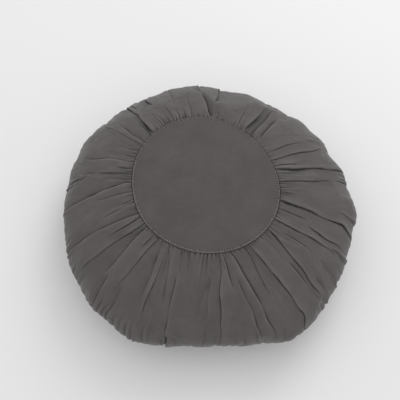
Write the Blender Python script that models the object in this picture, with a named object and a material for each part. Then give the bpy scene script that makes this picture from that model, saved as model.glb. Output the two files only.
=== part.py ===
"""Round gathered cushion, lying on its back.

A plain round panel is sewn into the front and another into the back. Between the two
seams runs one gathered band of cloth, which goes round the rim of the filling.
Units are metres, +Z is up, and the front faces up. The origin is on the surface that
the cushion lies on, in the middle of its outline.
"""

import math
from collections import namedtuple

import bmesh
import bpy
from mathutils import Vector

# Driving sizes
RIM_HEIGHT = 0.055      # widest line of the cushion above the surface
FRONT_RISE = 0.065      # crown of the filling above that line
FRONT_FULLNESS = 2.3    # exponent of the front's section, where 2 is an ellipse
BACK_FULLNESS = 2.2     # the same for the back
SEAM_SHARE = 0.49       # seam radius as a share of the rim radius
PANEL_THICK = 0.002     # panel cloth with its turned edge
PANEL_CROWN = 0.006     # how far the filling lifts the middle of the front panel
PANEL_SIDES = 72
SEAT_GAP = 0.0005       # clearance between a panel's edge and the band
REST_LIFT = 0.0008      # band above the surface at the back seam
DRAW_IN = 0.0011        # how far the gathered edge lies below the front panel's face
DRAW_IN_REACH = 0.007
MM = 0.001

# Charcoal grey cotton, in linear colour
BAND_GREY = (0.108, 0.099, 0.098)
PANEL_GREY = (0.104, 0.095, 0.094)
CLOTH_ROUGHNESS = 0.95

# Small gathers at both seams, one up and one down from column to column
GATHER_HEIGHT = 0.0006
GATHER_REACH = 0.012
COLUMN_PITCH_DEG = 5.4  # one up and one down together

# The cloth's sharp folds: how wide the crease is on each side, and the lip that laps over it
CREASE_WIDE = 0.0075
CREASE_STEEP = 0.0018
LIP_WIDE = 0.006
LIP_SHARE = 0.35        # of the fold's depth
STEEP_COLUMN = 0.4      # the first column on the lapping side stands this share as far off
FOLD_NEAR = 0.030       # beyond this distance a fold has no effect
FOLD_OPENS = 0.08       # share of the band over which a fold reaches its depth
FOLD_FADES = 0.4        # last share of a fold's length, over which it dies out
BACK_FADES = 0.6
SEWN_SHARE = 0.1        # a seam holds a fold down to this share of its depth
SEWN_REACH = 0.014

# Rows of both outlines seen from the front. The angle runs anticlockwise from the right.
Reach = namedtuple("Reach", "angle_deg radius_mm")

# The rim, with fuller corners at 240 and 301 degrees, where the cushion has stood on edge
RIM = [
    Reach(0, 200),
    Reach(20, 191),
    Reach(40, 188),
    Reach(60, 183),
    Reach(80, 185),
    Reach(100, 192),
    Reach(120, 190),
    Reach(140, 193),
    Reach(160, 194),
    Reach(180, 190),
    Reach(205, 195),
    Reach(222, 198),
    Reach(240, 203),
    Reach(255, 194),
    Reach(270, 189),
    Reach(285, 194),
    Reach(301, 211),
    Reach(315, 207),
    Reach(335, 200),
]

# The seam between a panel and the band
SEAM = [
    Reach(0, 95),
    Reach(30, 94),
    Reach(60, 99),
    Reach(90, 107),
    Reach(120, 109),
    Reach(150, 103),
    Reach(180, 95),
    Reach(210, 92),
    Reach(240, 90),
    Reach(270, 91),
    Reach(300, 94),
    Reach(330, 96),
]

# Main folds of the front, a row for each. Start and end are shares of the way from the
# seam (0) to the rim (1) and on over it. A lap of 1 folds the anticlockwise side over the
# crease, and -1 the clockwise side.
Fold = namedtuple("Fold", "seam_deg rim_deg start end depth_mm lap")
FOLDS = [
    Fold(5, 3, 0.00, 0.50, 3.5, 1),
    Fold(10, 7, 0.40, 1.05, 4.0, -1),
    Fold(16, 12, 0.00, 0.95, 5.0, -1),
    Fold(24, 23, 0.00, 0.60, 3.5, 1),
    Fold(31, 28, 0.40, 1.10, 4.5, 1),
    Fold(43, 46, 0.02, 0.35, 3.5, -1),
    Fold(49, 53, 0.00, 0.50, 4.5, -1),
    Fold(58, 58, 0.00, 0.60, 5.0, 1),
    Fold(84, 82, 0.20, 1.45, 7.0, 1),
    Fold(88, 93, 0.00, 0.75, 3.5, -1),
    Fold(100, 101, 0.00, 0.45, 3.0, 1),
    Fold(118, 119, 0.25, 0.95, 3.0, -1),
    Fold(130, 127, 0.00, 1.10, 5.5, -1),
    Fold(139, 138, 0.00, 0.35, 3.5, 1),
    Fold(159, 163, 0.00, 0.75, 3.5, 1),
    Fold(168, 170, 0.00, 0.35, 4.0, -1),
    Fold(177, 188, 0.00, 1.10, 5.0, 1),
    Fold(202, 203, 0.00, 0.95, 5.0, 1),
    Fold(213, 213, 0.00, 0.80, 4.0, -1),
    Fold(219, 220, 0.00, 0.45, 4.5, 1),
    Fold(224, 225, 0.35, 0.80, 3.0, 1),
    Fold(232, 231, 0.00, 0.50, 4.0, -1),
    Fold(241, 243, 0.05, 0.65, 4.5, -1),
    Fold(251, 256, 0.12, 1.20, 5.0, 1),
    Fold(266, 264, 0.00, 0.25, 3.0, -1),
    Fold(279, 276, 0.00, 0.95, 3.5, 1),
    Fold(284, 290, 0.15, 1.05, 4.5, -1),
    Fold(290, 296, 0.00, 1.05, 4.5, -1),
    Fold(304, 307, 0.00, 1.15, 5.5, 1),
    Fold(315, 315, 0.20, 0.60, 3.5, -1),
    Fold(322, 320, 0.00, 0.85, 4.5, 1),
    Fold(333, 334, 0.00, 0.95, 5.0, 1),
    Fold(338, 340, 0.25, 0.75, 3.5, -1),
    Fold(348, 345, 0.00, 1.05, 7.0, -1),
]

# The back's folds lie in the same places and reach back from its seam in turn
BACK_DEPTH = 0.0035
BACK_REACHES = (0.45, 0.95, 0.60, 1.05, 0.35, 0.80)

# A line of points down the band, between a seam direction and a rim direction
Column = namedtuple("Column", "seam_deg rim_deg way")

# Rows of the band from the front seam (0) round the rim (1) to the back seam (2)
BAND_SHARES = (
    0.00, 0.035, 0.09, 0.16, 0.25, 0.35, 0.46, 0.57, 0.68, 0.79, 0.89, 0.97,
    1.05, 1.14, 1.24, 1.35, 1.47, 1.59, 1.70, 1.80, 1.89, 1.96, 2.00,
)

# Rings of points across a panel, as shares of its radius, and its rounded edge from below
# to above, as shares of its radius and of its thickness
PANEL_SHARES = (0.35, 0.70, 0.92)
PANEL_EDGE = ((0.99, 0.0), (1.0, 0.4), (0.99, 1.0))


def smooth(value):
    """0 below 0, 1 above 1 and a soft step between."""
    value = min(1.0, max(0.0, value))
    return value * value * (3.0 - 2.0 * value)


def radius(table, angle_deg):
    """Radius in metres in a direction, on a smooth closed curve through the table's rows."""
    angle_deg %= 360.0
    count = len(table)
    row = max(k for k in range(count) if table[k].angle_deg <= angle_deg)
    before, here, after, beyond = (
        (table[k % count].angle_deg + 360.0 * (k // count), table[k % count].radius_mm)
        for k in range(row - 1, row + 3)
    )
    gap = after[0] - here[0]
    slope_here = (after[1] - before[1]) / (after[0] - before[0]) * gap
    slope_after = (beyond[1] - here[1]) / (beyond[0] - here[0]) * gap
    part = (angle_deg - here[0]) / gap
    curve = (
        here[1] * (2 * part**3 - 3 * part**2 + 1)
        + slope_here * (part**3 - 2 * part**2 + part)
        + after[1] * (3 * part**2 - 2 * part**3)
        + slope_after * (part**3 - part**2)
    )
    return curve * MM


def on_plan(angle_deg, distance):
    angle = math.radians(angle_deg)
    return Vector((distance * math.cos(angle), distance * math.sin(angle), 0.0))


def section(share):
    """(how far out from seam to rim, height) of the filled cushion at a share of the band."""
    if share <= 1.0:
        tilt_at_seam = math.asin(SEAM_SHARE ** (FRONT_FULLNESS / 2.0))
        tilt = tilt_at_seam + (math.pi / 2 - tilt_at_seam) * share
        radius_share = math.sin(tilt) ** (2.0 / FRONT_FULLNESS)
        out = (radius_share - SEAM_SHARE) / (1.0 - SEAM_SHARE)
        return out, RIM_HEIGHT + FRONT_RISE * math.cos(tilt)
    tilt = math.pi / 2 * (2.0 - share)
    out = math.sin(max(tilt, 0.0)) ** (2.0 / BACK_FULLNESS)
    return out, REST_LIFT + (RIM_HEIGHT - REST_LIFT) * (1.0 - math.cos(tilt))


def seam_height():
    return section(0.0)[1]


def base_point(seam_deg, rim_deg, share):
    """Point of the plain, unfolded band on the line from one seam direction to one rim direction."""
    out, height = section(share)
    seam = on_plan(seam_deg, radius(SEAM, seam_deg))
    rim = on_plan(rim_deg, radius(RIM, rim_deg))
    point = seam.lerp(rim, out)
    point.z = height
    return point


def outward(seam_deg, rim_deg, share):
    """Unit vector square to the plain band, pointing out of the cushion."""
    step = 0.01
    low = max(0.0, share - step)
    high = min(2.0, share + step)
    along = base_point(seam_deg, rim_deg, high) - base_point(seam_deg, rim_deg, low)
    middle = base_point(seam_deg, rim_deg, share)
    around = Vector((-middle.y, middle.x, 0.0))
    return along.cross(around).normalized()


def band_columns():
    """Every column of the band. Creases and the bottoms of gathers have way -1."""
    columns = []
    for index, fold in enumerate(FOLDS):
        following = FOLDS[(index + 1) % len(FOLDS)]
        turn = 360.0 if index + 1 == len(FOLDS) else 0.0
        seam_gap = following.seam_deg + turn - fold.seam_deg
        rim_gap = following.rim_deg + turn - fold.rim_deg
        count = 2 * max(1, round(max(seam_gap, rim_gap) / COLUMN_PITCH_DEG))
        for k in range(count):
            part = k / count
            if k == 1 and fold.lap == 1:
                part = STEEP_COLUMN / count
            if k == count - 1 and following.lap == -1:
                part = 1.0 - STEEP_COLUMN / count
            way = -1 if k % 2 == 0 else 1
            columns.append(Column(fold.seam_deg + part * seam_gap, fold.rim_deg + part * rim_gap, way))
    return columns


def front_strength(fold, share):
    """How deep a fold is at a share of the band, from 0 to 1."""
    fade = FOLD_FADES * (fold.end - fold.start)
    opens = 1.0 if fold.start <= 0.0 else smooth((share - fold.start) / FOLD_OPENS)
    return opens * smooth((fold.end - share) / fade)


def back_strength(index, share):
    reach = BACK_REACHES[index % len(BACK_REACHES)]
    return smooth((reach - (2.0 - share)) / (BACK_FADES * reach))


def crease_height(across, lap):
    """Height of the cloth across one fold of depth 1: a crease, steep on the lapping side, and its lip."""
    over = across * lap
    if over < 0.0:
        return -math.exp(over / CREASE_WIDE)
    lip = over / LIP_WIDE
    return -math.exp(-over / CREASE_STEEP) + LIP_SHARE * lip * math.exp(1.0 - lip)


def fold_height(seam_deg, rim_deg, share):
    """Sum of all the folds at one point of the band."""
    here = base_point(seam_deg, rim_deg, share)
    total = 0.0
    for index, fold in enumerate(FOLDS):
        crease = base_point(fold.seam_deg, fold.rim_deg, share)
        across = math.atan2(crease.x * here.y - crease.y * here.x, crease.x * here.x + crease.y * here.y)
        across *= math.hypot(here.x, here.y)
        if abs(across) > FOLD_NEAR:
            continue
        depth = max(
            fold.depth_mm * MM * front_strength(fold, share),
            BACK_DEPTH * back_strength(index, share),
        )
        total += depth * crease_height(across, fold.lap)
    return total


def band_point(column, share):
    """Point of the folded and gathered band."""
    seam_deg, rim_deg = column.seam_deg, column.rim_deg
    point = base_point(seam_deg, rim_deg, share)
    from_seam = (point - base_point(seam_deg, rim_deg, 0.0)).length
    from_back = (point - base_point(seam_deg, rim_deg, 2.0)).length
    loose = smooth(min(from_seam, from_back) / SEWN_REACH)
    height = fold_height(seam_deg, rim_deg, share) * (SEWN_SHARE + (1.0 - SEWN_SHARE) * loose)
    drawn = math.exp(-from_seam / GATHER_REACH) + math.exp(-from_back / GATHER_REACH)
    height += column.way * GATHER_HEIGHT * drawn
    height -= DRAW_IN * math.exp(-from_seam / DRAW_IN_REACH)
    point += outward(seam_deg, rim_deg, share) * height
    point.z = max(point.z, REST_LIFT)
    return point


def seam_loop(angles_deg, share, height):
    """Closed row of points at a share of the seam's radius."""
    loop = []
    for angle_deg in angles_deg:
        point = on_plan(angle_deg, share * radius(SEAM, angle_deg))
        point.z = height
        loop.append(point)
    return loop


def crown(share):
    """How far the filling lifts the front panel at a share of its radius."""
    return PANEL_CROWN * (1.0 - share * share)


def closed_solid(name, first_pole, loops, last_pole):
    """Object skinned over rows of points, closed by a fan to a pole at each end."""
    mesh = bmesh.new()
    rows = [[mesh.verts.new(point) for point in loop] for loop in loops]
    count = len(rows[0])
    for above, below in zip(rows, rows[1:]):
        for k in range(count):
            after = (k + 1) % count
            mesh.faces.new((above[k], below[k], below[after], above[after]))
    for pole, row in ((first_pole, rows[0]), (last_pole, rows[-1])):
        centre = mesh.verts.new(pole)
        for k in range(count):
            mesh.faces.new((centre, row[k], row[(k + 1) % count]))
    bmesh.ops.recalc_face_normals(mesh, faces=mesh.faces)
    data = bpy.data.meshes.new(name)
    mesh.to_mesh(data)
    mesh.free()
    data.shade_smooth()
    solid = bpy.data.objects.new(name, data)
    bpy.context.scene.collection.objects.link(solid)
    return solid


def gathered_band():
    """The filled band, with a shallow seat at the front and at the back for the panels."""
    columns = band_columns()
    seam_angles = [column.seam_deg for column in columns]
    floor = seam_height() - PANEL_THICK - SEAT_GAP
    ceiling = PANEL_THICK + SEAT_GAP
    loops = [seam_loop(seam_angles, share, floor + crown(share)) for share in PANEL_SHARES]
    loops.append(seam_loop(seam_angles, 1.0, floor))
    loops += [[band_point(column, share) for column in columns] for share in BAND_SHARES]
    loops.append(seam_loop(seam_angles, 1.0, ceiling))
    return closed_solid(
        "gathered_band",
        Vector((0.0, 0.0, floor + crown(0.0))),
        loops,
        Vector((0.0, 0.0, ceiling)),
    )


def panel(name, top, lift):
    """Round sheet of cloth with its edge's upper side at a height, and lifted across its middle."""
    around = [360.0 * k / PANEL_SIDES for k in range(PANEL_SIDES)]
    clear = 1.0 - SEAT_GAP / radius(SEAM, 0.0)
    bottom = top - PANEL_THICK
    under = [(share, bottom + lift(share)) for share in PANEL_SHARES]
    edge = [(share, bottom + part * PANEL_THICK) for share, part in PANEL_EDGE]
    face = [(share, top + lift(share)) for share in reversed(PANEL_SHARES)]
    loops = [seam_loop(around, share * clear, height) for share, height in under + edge + face]
    return closed_solid(
        name,
        Vector((0.0, 0.0, bottom + lift(0.0))),
        loops,
        Vector((0.0, 0.0, top + lift(0.0))),
    )


def front_panel():
    """Crowned sheet whose turned edge stands a little above the gathers."""
    return panel("front_panel", seam_height(), crown)


def back_panel():
    """Flat sheet that the cushion lies on."""
    return panel("back_panel", PANEL_THICK, lambda share: 0.0)


def cloth_material(name, colour):
    material = bpy.data.materials.new(name)
    material.use_nodes = True
    shader = material.node_tree.nodes["Principled BSDF"]
    shader.inputs["Base Color"].default_value = (*colour, 1.0)
    shader.inputs["Roughness"].default_value = CLOTH_ROUGHNESS
    shader.inputs["Metallic"].default_value = 0.0
    return material


def build():
    for old in list(bpy.data.objects):
        bpy.data.objects.remove(old)
    centre = bpy.data.objects.new("cushion", None)
    bpy.context.scene.collection.objects.link(centre)
    band = gathered_band()
    front = front_panel()
    back = back_panel()
    band.data.materials.append(cloth_material("band_cloth", BAND_GREY))
    front.data.materials.append(cloth_material("front_panel_cloth", PANEL_GREY))
    back.data.materials.append(cloth_material("back_panel_cloth", PANEL_GREY))
    for piece in (band, front, back):
        piece.parent = centre
    # The folds make the outline uneven, so the whole is set with its middle on the origin
    across = [vertex.co.x for vertex in band.data.vertices]
    along = [vertex.co.y for vertex in band.data.vertices]
    centre.location = (-(min(across) + max(across)) / 2.0, -(min(along) + max(along)) / 2.0, 0.0)


build()
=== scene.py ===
# %% [markdown]
# # A round gathered cushion
#
# The cushion is sewn from three pieces of charcoal grey washed cotton: a plain round panel at the
# front, another at the back, and one wide band that is gathered into both seams and goes round the
# rim of the filling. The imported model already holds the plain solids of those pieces. This file
# dresses them: folded cloth, gathers, turned edges, topstitching and the weave.
#
# Everything is in metres. The cushion lies on its back, with its front facing up.

# %% Load the frame
import math
from collections import namedtuple

import bpy
import numpy as np
from mathutils import Matrix, Vector


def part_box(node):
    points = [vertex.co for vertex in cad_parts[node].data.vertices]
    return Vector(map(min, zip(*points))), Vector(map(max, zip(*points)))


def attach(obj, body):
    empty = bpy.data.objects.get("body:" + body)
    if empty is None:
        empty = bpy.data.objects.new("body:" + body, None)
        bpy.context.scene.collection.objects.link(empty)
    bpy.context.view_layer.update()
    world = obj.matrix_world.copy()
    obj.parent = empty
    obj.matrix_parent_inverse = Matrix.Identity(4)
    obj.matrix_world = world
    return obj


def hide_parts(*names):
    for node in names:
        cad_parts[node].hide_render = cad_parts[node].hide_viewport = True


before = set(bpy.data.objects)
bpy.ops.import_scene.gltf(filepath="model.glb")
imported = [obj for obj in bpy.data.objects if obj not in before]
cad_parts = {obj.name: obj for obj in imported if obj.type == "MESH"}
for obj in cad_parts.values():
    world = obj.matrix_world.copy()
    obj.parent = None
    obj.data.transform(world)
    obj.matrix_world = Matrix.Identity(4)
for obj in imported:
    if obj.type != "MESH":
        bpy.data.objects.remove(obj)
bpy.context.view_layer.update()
MM = 0.001

# %% [markdown]
# ## Camera
#
# The cushion in the photograph is seen 26 degrees off square to its face, from a little below its
# middle, so a cushion that lies on its back is looked down on from 64 degrees. Perspective matters:
# a camera 0.9 m away makes the near edge of the outline fuller than the far one. It could be set by
# eye, but a distance, an angle and a lens worked out from the width of the outline are easier to
# check. The camera keeps a zero shift and no depth of field.

# %% Camera
VIEW_ELEVATION = math.radians(64)
CAMERA_DISTANCE = 0.9
LENS_MM = 59.25
CAMERA_AIM = Vector((-0.0128, 0.0099, 0.0556))

camera_data = bpy.data.cameras.new("camera")
camera_data.lens = LENS_MM
camera_data.sensor_width = 36.0
camera = bpy.data.objects.new("camera", camera_data)
bpy.context.scene.collection.objects.link(camera)
towards_camera = Vector((0.0, -math.cos(VIEW_ELEVATION), math.sin(VIEW_ELEVATION)))
camera.location = CAMERA_AIM + towards_camera * CAMERA_DISTANCE
camera.rotation_euler = (math.pi / 2 - VIEW_ELEVATION, 0.0, 0.0)
bpy.context.scene.camera = camera
print("camera at", [round(v, 3) for v in camera.location])

# %% [markdown]
# ## The two outlines
#
# Nothing about this cushion is quite round. The rim and the seam are each a short list of
# directions and radii, read from the photograph anticlockwise from the right. A smooth closed curve
# goes through them, which needs far fewer numbers than a traced outline.

# %% Outlines of the rim and the seam
Reach = namedtuple("Reach", "angle_deg radius_mm")

RIM = [Reach(*row) for row in (
    (0, 199), (10, 194), (25, 192), (40, 191), (60, 186), (70, 187), (80, 185), (90, 193),
    (102, 192), (120, 190), (132, 191.5), (142, 195), (160, 194), (180, 190.5), (195, 191.5),
    (205, 196), (214, 198.5), (224, 202.5), (234, 203), (242, 206), (250, 200.5), (256, 197),
    (270, 190), (285, 195.5), (301, 210.5), (315, 207), (333, 199.5), (346, 195.5), (355, 202),
)]

SEAM = [Reach(*row) for row in (
    (0, 95), (30, 94), (60, 99), (90, 107), (120, 109), (150, 103), (180, 95), (210, 92), (240, 90),
    (270, 91), (300, 94), (330, 96),
)]


def smooth(value):
    """0 below 0, 1 above 1 and a soft step between."""
    value = np.clip(value, 0.0, 1.0)
    return value * value * (3.0 - 2.0 * value)


def radius(table, angle_deg):
    """Radii in metres in many directions, on a smooth closed curve through the table's rows."""
    count = len(table)
    starts = np.array([row.angle_deg for row in table], float)
    radii = np.array([row.radius_mm for row in table], float)
    angle_deg = np.mod(angle_deg, 360.0)
    row = np.searchsorted(starts, angle_deg, side="right") - 1

    def corner(step):
        place = row + step
        return starts[place % count] + 360.0 * (place // count), radii[place % count]

    before, here, after, beyond = (corner(step) for step in (-1, 0, 1, 2))
    gap = after[0] - here[0]
    slope_here = (after[1] - before[1]) / (after[0] - before[0]) * gap
    slope_after = (beyond[1] - here[1]) / (beyond[0] - here[0]) * gap
    part = (angle_deg - here[0]) / gap
    curve = (
        here[1] * (2 * part**3 - 3 * part**2 + 1)
        + slope_here * (part**3 - 2 * part**2 + part)
        + after[1] * (3 * part**2 - 2 * part**3)
        + slope_after * (part**3 - part**2)
    )
    return curve * MM


def on_plan(angle_deg, distance):
    """Points on the ground plane, in the outlines' own frame, as an array of x and y."""
    angle = np.radians(angle_deg)
    return np.stack([distance * np.cos(angle), distance * np.sin(angle)], -1)


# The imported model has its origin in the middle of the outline, so the tables' middle lies a
# little off it. The back panel shows by how much.
every_way = np.arange(0.0, 360.0, 5.0)
seam_ring = on_plan(every_way, radius(SEAM, every_way))
back_low, back_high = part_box("back_panel")
panel_middle = np.array([(back_low[k] + back_high[k]) / 2 for k in (0, 1)])
CENTRE = panel_middle - (seam_ring.min(0) + seam_ring.max(0)) / 2
print("outlines' middle at", CENTRE.round(4))

# %% [markdown]
# ## The filled shape
#
# A filled cushion has a section like a squashed circle, fuller near the rim than an ellipse. A
# superellipse does that with one exponent. Every point of the band is found from three things: a
# direction at the seam, a direction at the rim, and a share that runs from 0 at the front seam over
# 1 at the rim to 2 at the back seam.

# %% Section of the filled band
RIM_HEIGHT = 0.055
FRONT_RISE = 0.065
FRONT_FULLNESS = 2.3
BACK_FULLNESS = 2.2
SEAM_SHARE = 0.49
REST_LIFT = 0.0008
PANEL_THICK = 0.002
PANEL_CROWN = 0.006
SEAT_GAP = 0.0005


def section(share):
    """(how far out from seam to rim, height) of the filled cushion at shares of the band."""
    tilt_at_seam = math.asin(SEAM_SHARE ** (FRONT_FULLNESS / 2.0))
    front_tilt = tilt_at_seam + (math.pi / 2 - tilt_at_seam) * np.minimum(share, 1.0)
    front_out = (np.sin(front_tilt) ** (2.0 / FRONT_FULLNESS) - SEAM_SHARE) / (1.0 - SEAM_SHARE)
    front_height = RIM_HEIGHT + FRONT_RISE * np.cos(front_tilt)
    back_tilt = math.pi / 2 * np.clip(2.0 - share, 0.0, 1.0)
    back_out = np.sin(back_tilt) ** (2.0 / BACK_FULLNESS)
    back_height = REST_LIFT + (RIM_HEIGHT - REST_LIFT) * (1.0 - np.cos(back_tilt))
    on_front = share <= 1.0
    return np.where(on_front, front_out, back_out), np.where(on_front, front_height, back_height)


def base_points(seam_deg, rim_deg, share):
    """Points of the plain, unfolded band. The three arrays broadcast against each other."""
    out, height = section(share)
    seam = on_plan(seam_deg, radius(SEAM, seam_deg))
    rim = on_plan(rim_deg, radius(RIM, rim_deg))
    plan = seam + (rim - seam) * out[..., None]
    return np.concatenate([plan, np.broadcast_to(height[..., None], plan.shape[:-1] + (1,))], -1)


SEAM_TOP = float(section(np.array(0.0))[1])
print("seam ring at height", round(SEAM_TOP, 4), "and rim at", RIM_HEIGHT)

# %% [markdown]
# ## The folds, one by one
#
# Where the band is gathered, the spare cloth runs out from the seam in sharp folds. A simulation
# alone would put them anywhere, so the folds are placed one by one. Each row gives a fold's direction
# at the seam and at the rim, the shares of the band where it starts and ends, its depth, which side
# laps over the crease (1 is the anticlockwise side, -1 the clockwise one), and how wide the cloth
# slopes down to it. Most slopes are narrow, so the crease is a thin line. A few are broad and show
# as a whole dark facet. Some hook sideways by a few degrees near the rim. A row with a depth below
# zero is a pinched ridge that stands up. The deepest folds are in the imported model too.

# %% Table of folds
Fold = namedtuple(
    "Fold", "seam_deg rim_deg start end depth_mm lap wide_mm hook_deg", defaults=(0.7, 0.0)
)

FOLDS = [Fold(*row) for row in (
    (5.2, 7.6, 0, 0.55, 3.5, 1), (8, 8.4, 0.55, 1.15, 2.2, 1, 1), (9.8, 9.6, 0.62, 1.2, -2, -1, 1.5),
    (12.5, 11.5, 0, 0.2, 2, 1), (16.8, 14, 0, 1.05, 6.5, 1, 1.6), (20, 17.2, 0, 0.24, 2.5, 1),
    (25, 24.8, 0, 0.68, 4.5, 1), (32.8, 30, 0.02, 0.5, 2.2, 1), (45, 50, 0.02, 0.42, 4, -1, 1.6),
    (51.5, 54.8, 0, 0.48, 4.4, -1, 1.8), (59.2, 57.5, 0, 0.52, 4.8, 1, 4.5),
    (66, 66.5, 0, 0.28, 2.4, 1), (84.3, 83.6, 0.2, 1.45, 4.2, 1, 3), (85.6, 87.6, 0, 0.26, 2.2, -1),
    (86.6, 93.2, 0, 0.46, 4, 1, 6), (88.5, 94.2, 0.4, 1.1, -1.8, 1, 1.2),
    (99.8, 99.5, 0, 0.42, 2, 1), (108.8, 107, 0.28, 0.8, 1.8, 1, 3),
    (112.8, 112.4, 0, 0.28, 2.6, -1), (117.5, 118.4, 0.38, 1.2, 4.2, -1, 1.6, -3),
    (121.5, 122.2, 0.3, 1.15, -2.2, -1, 2.5), (123.6, 124.9, 0.48, 1.2, 3.4, -1, 1.2),
    (130.5, 126.8, 0, 1.1, 5, -1, 3.5), (140.8, 137.5, 0, 0.4, 3.3, 1),
    (143.2, 142, 0, 0.7, 1.8, -1), (149, 150, 0, 0.12, 1.5, 1), (154, 156, 0, 0.12, 1.5, 1),
    (158.2, 161.8, 0, 0.62, 3, 1), (163.8, 166, 0, 0.16, 2, -1), (167.8, 169.6, 0, 0.34, 3.5, -1),
    (169, 170.4, 0.3, 1, -1.8, -1, 1.5), (170.4, 172, 0.42, 0.9, 2.4, -1, 2),
    (171.2, 173.6, 0.62, 1.2, -2.4, 1, 1.2), (172.6, 175, 0, 0.18, 2, 1),
    (175, 184.2, 0, 1.15, 4.4, 1, 1.8, 0.5), (183.4, 186, 0, 0.34, 2.4, 1),
    (190, 195, 0, 0.12, 1.5, -1), (193, 199.5, 0.02, 0.28, 2.2, 1),
    (203.3, 201.8, 0, 1, 4.4, 1, 1.4), (206.5, 209, 0, 0.3, 2.5, -1), (213, 212.2, 0, 0.82, 3.6, -1),
    (216.6, 222, 0, 0.52, 4, 1, 0.9), (217.6, 224.6, 0.4, 0.84, 2.8, 1, 3),
    (225.5, 227, 0, 0.14, 2.5, -1), (230.2, 229.4, 0, 0.48, 2.8, -1),
    (231.6, 231.6, 0.55, 1.05, 2.2, 1, 1.5), (234.5, 242.5, 0.02, 0.5, 2, 1, 4),
    (240, 244, 0.05, 0.62, 3, -1), (240.5, 248.2, 0.42, 1, -1.4, 1, 1.5),
    (241.2, 253, 0.02, 0.46, 2, 1), (251, 254.4, 0.12, 1, 3, 1), (252, 255.2, 0.74, 1.5, 6.5, 1, 3),
    (257.5, 258.5, 0, 0.16, 2, -1), (268, 264, 0, 0.2, 2, -1), (274, 268.6, 0.15, 0.66, 2, 1, 9),
    (280, 275.2, 0, 0.98, 2.8, 1), (282.7, 284.5, 0, 0.3, 2.2, -1),
    (284.4, 290, 0.15, 1.05, 3.2, -1), (288.5, 295, 0, 1, 3.4, -1), (300.5, 298, 0.05, 0.42, 2, 1),
    (303.7, 307.4, 0, 1.15, 4.8, 1, 0.7, -1.5), (317, 315.3, 0.2, 0.58, 3, -1),
    (323.5, 316.3, 0, 0.8, 4, 1), (324.3, 318.8, 0.45, 1.15, -3.2, 1, 1.4),
    (325.4, 325.6, 0.45, 1.25, -3.2, 1, 1.4), (328, 327.6, 0.08, 0.38, 2, -1),
    (332.8, 334.6, 0, 0.7, 4.8, 1, 0.9), (335.6, 335.8, 0.5, 1.15, -2.4, -1, 1.4),
    (339.4, 337.8, 0.22, 0.76, 4, 1), (342.5, 342, 0, 0.26, 2.5, 1),
    (349.4, 347, 0, 1.15, 6, 1, 1.4, -2.2), (354, 352, 0.5, 1.15, -2, -1, 1.4),
    (356.5, 356, 0, 0.12, 2, 1), (358, 358.5, 0.55, 1.2, -2, 1, 1.4),
)]
print(len(FOLDS), "folds, the deepest", max(fold.depth_mm for fold in FOLDS), "mm")

# %% [markdown]
# ## A grid that follows the folds
#
# The band is one grid of points: columns run from the front seam over the rim to the back seam, and
# rows run round. A crease only looks sharp when a column runs exactly along it, so every fold is a
# column, and the columns between two folds crowd towards both of them. Each gap holds a multiple of
# three columns, because the simulation later uses every third one. Real creases are not ruled
# lines, so they drift sideways on their way. The drift is one smooth field for the whole band, so
# that neighbours drift alike and never cross.

# %% Columns and rows of the band
COLUMN_PITCH = 0.0042       # at the rim, for three columns
RIM_RADIUS = 0.195          # in the mean, to space the columns
CROWDING = 0.72             # 0 for even columns, towards 1 for more of them at the folds
DRIFT_DEG = 0.13
HOOK_STARTS = 0.60
FRONT_ROWS = 60
BACK_ROWS = 30

rng = np.random.default_rng(21)
drift_waves = [
    (int(lobes), rng.uniform(7.0, 22.0), rng.uniform(0, 6.28), 9.0 / (lobes + 5.0))
    for lobes in (3, 5, 7, 9, 12, 15, 18, 21, 25)
]
fold_turn = rng.uniform(0.0, math.pi, len(FOLDS))   # where each fold's own unevenness begins

fold_seam = np.array([fold.seam_deg for fold in FOLDS])
fold_rim = np.array([fold.rim_deg for fold in FOLDS])
fold_hook = np.array([fold.hook_deg for fold in FOLDS])
next_rim = np.append(fold_rim[1:], fold_rim[0] + 360.0)

column_gap = []             # which gap between folds a column lies in
column_part = []            # how far along that gap
for gap in range(len(FOLDS)):
    arc = math.radians(next_rim[gap] - fold_rim[gap]) * RIM_RADIUS
    count = 3 * max(3, round(arc / COLUMN_PITCH))
    part = np.arange(count) / count
    column_gap += [gap] * count
    column_part += list(part - CROWDING * np.sin(2 * math.pi * part) / (2 * math.pi))
column_gap = np.array(column_gap)
column_part = np.array(column_part)
COLUMNS = len(column_gap)

# Rows lie closer together near the seams, where the gathers are
front_step = np.arange(FRONT_ROWS) / FRONT_ROWS
back_step = np.arange(BACK_ROWS + 1) / BACK_ROWS
shares = np.concatenate([0.35 * front_step + 0.65 * front_step**1.8, 2.0 - (1.0 - back_step) ** 1.35])
ROWS = len(shares)


def drifted(seam_deg, rim_deg, hook, share):
    """Both directions of a line, with its sideways drift and its hook at a share of the band."""
    turn = np.radians(rim_deg)
    sway = hook * smooth((share - HOOK_STARTS) / 0.3)
    for lobes, speed, begin, size in drift_waves:
        wave = np.sin(lobes * turn + speed * share + begin) - np.sin(lobes * turn + begin)
        sway = sway + DRIFT_DEG * size * wave
    return seam_deg + sway * smooth(2.0 - share), rim_deg + sway * smooth(2.0 - share)


def between_folds(values, wrap=0.0):
    """Values of the folds on either side of each column, mixed by the column's place."""
    ahead = np.append(values[1:], values[0] + wrap)
    return values[column_gap] * (1 - column_part) + ahead[column_gap] * column_part


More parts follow.
